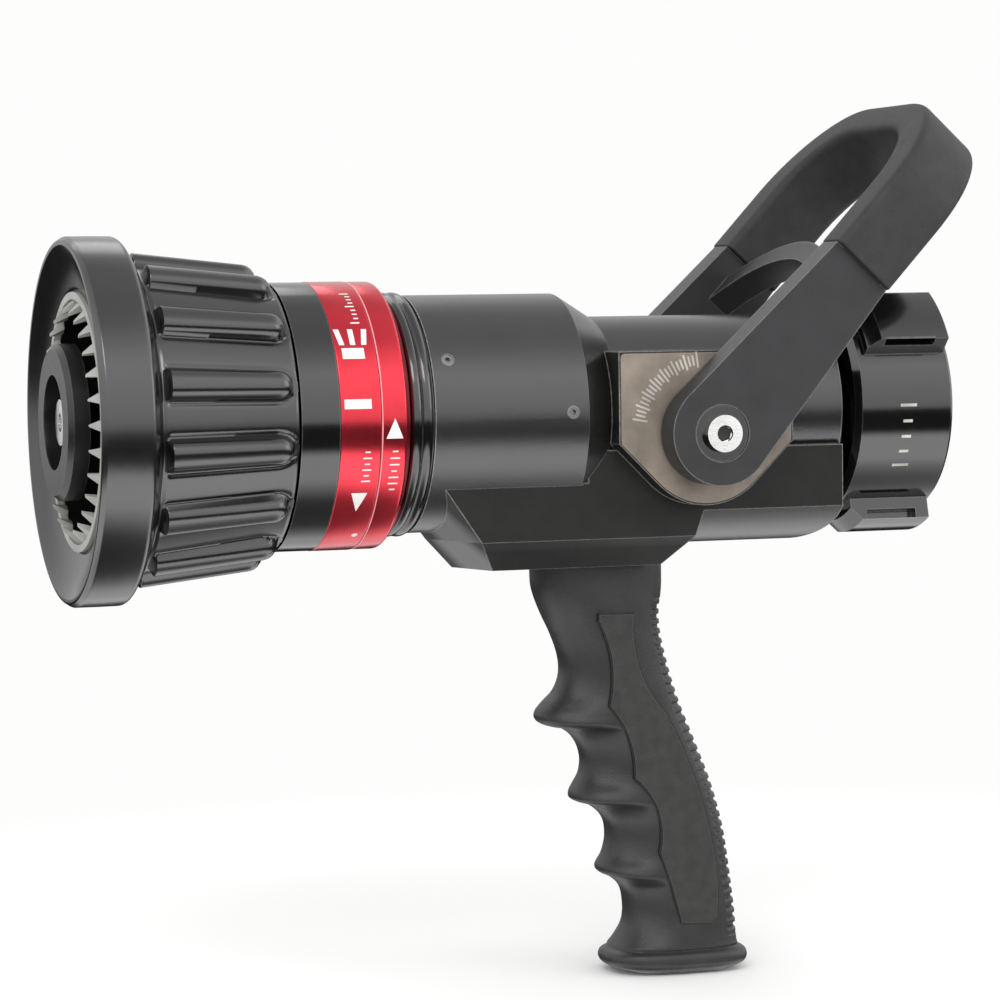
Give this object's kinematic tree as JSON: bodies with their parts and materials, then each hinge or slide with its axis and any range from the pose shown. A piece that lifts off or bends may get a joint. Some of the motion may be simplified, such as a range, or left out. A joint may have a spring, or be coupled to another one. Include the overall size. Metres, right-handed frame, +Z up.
{
  "type": "fire hose nozzle",
  "caption": "Pistol-grip fire hose nozzle with a bail-operated ball valve, flow selector ring, ribbed pattern sleeve with fog teeth and a swivel hose coupling.",
  "frame": {"origin": "centre of the swivel coupling's hose face, on the flow axis", "axes": "+X is the way the hose leaves the coupling (the stream goes towards -X), +Z is up with the pistol grip pointing -Z, and -Y is the side seen in the picture"},
  "size_m": [0.272, 0.104, 0.2564],
  "materials": {
    "cast_black": "satin hard-anodised black casting",
    "anodised_black": "gloss black anodised",
    "anodised_red": "satin red anodised",
    "bumper_rubber": "smooth black rubber",
    "bail_rubber": "matt black rubber",
    "grip_plastic": "fine-textured black nylon",
    "grip_panel": "matt black inlay",
    "fog_plastic": "light grey moulded teeth",
    "steel": "bright stainless steel",
    "seal_rubber": "black nitrile",
    "seat_plastic": "white seat plastic",
    "bronze": "sintered bronze"
  },
  "bodies": {
    "nozzle_body": {"valve_body": "cast_black", "barrel": "anodised_black", "barrel_o_ring": "seal_rubber", "index_ring": "anodised_red", "bead_ring": "anodised_black", "baffle_stem": "anodised_black", "baffle_head": "anodised_black", "baffle_screw": "steel", "front_seat": "seat_plastic", "rear_seat": "seat_plastic", "seat_spring": "steel", "tail_stem": "anodised_black", "swivel_retainer": "steel", "stem_bushing_near": "bronze", "stem_bushing_far": "bronze", "set_screw_front": "steel", "set_screw_rear": "steel", "grip_shell": "grip_plastic", "grip_panel_near": "grip_panel", "grip_panel_far": "grip_panel", "grip_stud": "steel"},
    "bail": {"bail_frame": "cast_black", "bail_sleeve": "bail_rubber", "bail_screw_near": "steel", "bail_screw_far": "steel", "bail_washer_near": "anodised_black", "bail_washer_far": "anodised_black", "thrust_washer_near": "seal_rubber", "thrust_washer_far": "seal_rubber", "stem_near": "steel", "stem_far": "steel", "stem_o_ring_near": "seal_rubber", "stem_o_ring_far": "seal_rubber", "valve_ball": "steel"},
    "flow_selector": {"flow_sleeve": "anodised_black", "flow_band": "anodised_red"},
    "orifice": {"orifice_sleeve": "anodised_black"},
    "pattern_carrier": {"pattern_guide": "seat_plastic"},
    "pattern_sleeve": {"shaper": "anodised_black", "bumper": "bumper_rubber", "fog_teeth": "fog_plastic"},
    "swivel": {"swivel_coupling": "anodised_black", "hose_gasket": "seal_rubber", "swivel_plug": "steel"}
  },
  "joints": [
    {"name": "bail_swing", "type": "hinge", "parent": "nozzle_body", "child": "bail", "pos_m": [-0.0791, 0, -0.006], "axis": [0, -1, 0], "range_deg": [0, 83]},
    {"name": "flow_turn", "type": "hinge", "parent": "nozzle_body", "child": "flow_selector", "pos_m": [-0.185, 0, 0], "axis": [1, 0, 0], "range_deg": [0, 120]},
    {"name": "orifice_slide", "type": "slide", "parent": "nozzle_body", "child": "orifice", "axis": [1, 0, 0], "range_m": [0, 0.004]},
    {"name": "pattern_slide", "type": "slide", "parent": "nozzle_body", "child": "pattern_carrier", "axis": [-1, 0, 0], "range_m": [0, 0.014]},
    {"name": "pattern_turn", "type": "hinge", "parent": "pattern_carrier", "child": "pattern_sleeve", "pos_m": [-0.23, 0, 0], "axis": [1, 0, 0], "range_deg": [0, 180]},
    {"name": "swivel_spin", "type": "hinge", "parent": "nozzle_body", "child": "swivel", "pos_m": [-0.015, 0, 0], "axis": [1, 0, 0], "continuous": true}
  ],
  "couplings": [
    {"joint": "orifice_slide", "follows": "flow_turn", "m_per_rad": 0.0019},
    {"joint": "pattern_slide", "follows": "pattern_turn", "m_per_rad": 0.00445}
  ]
}
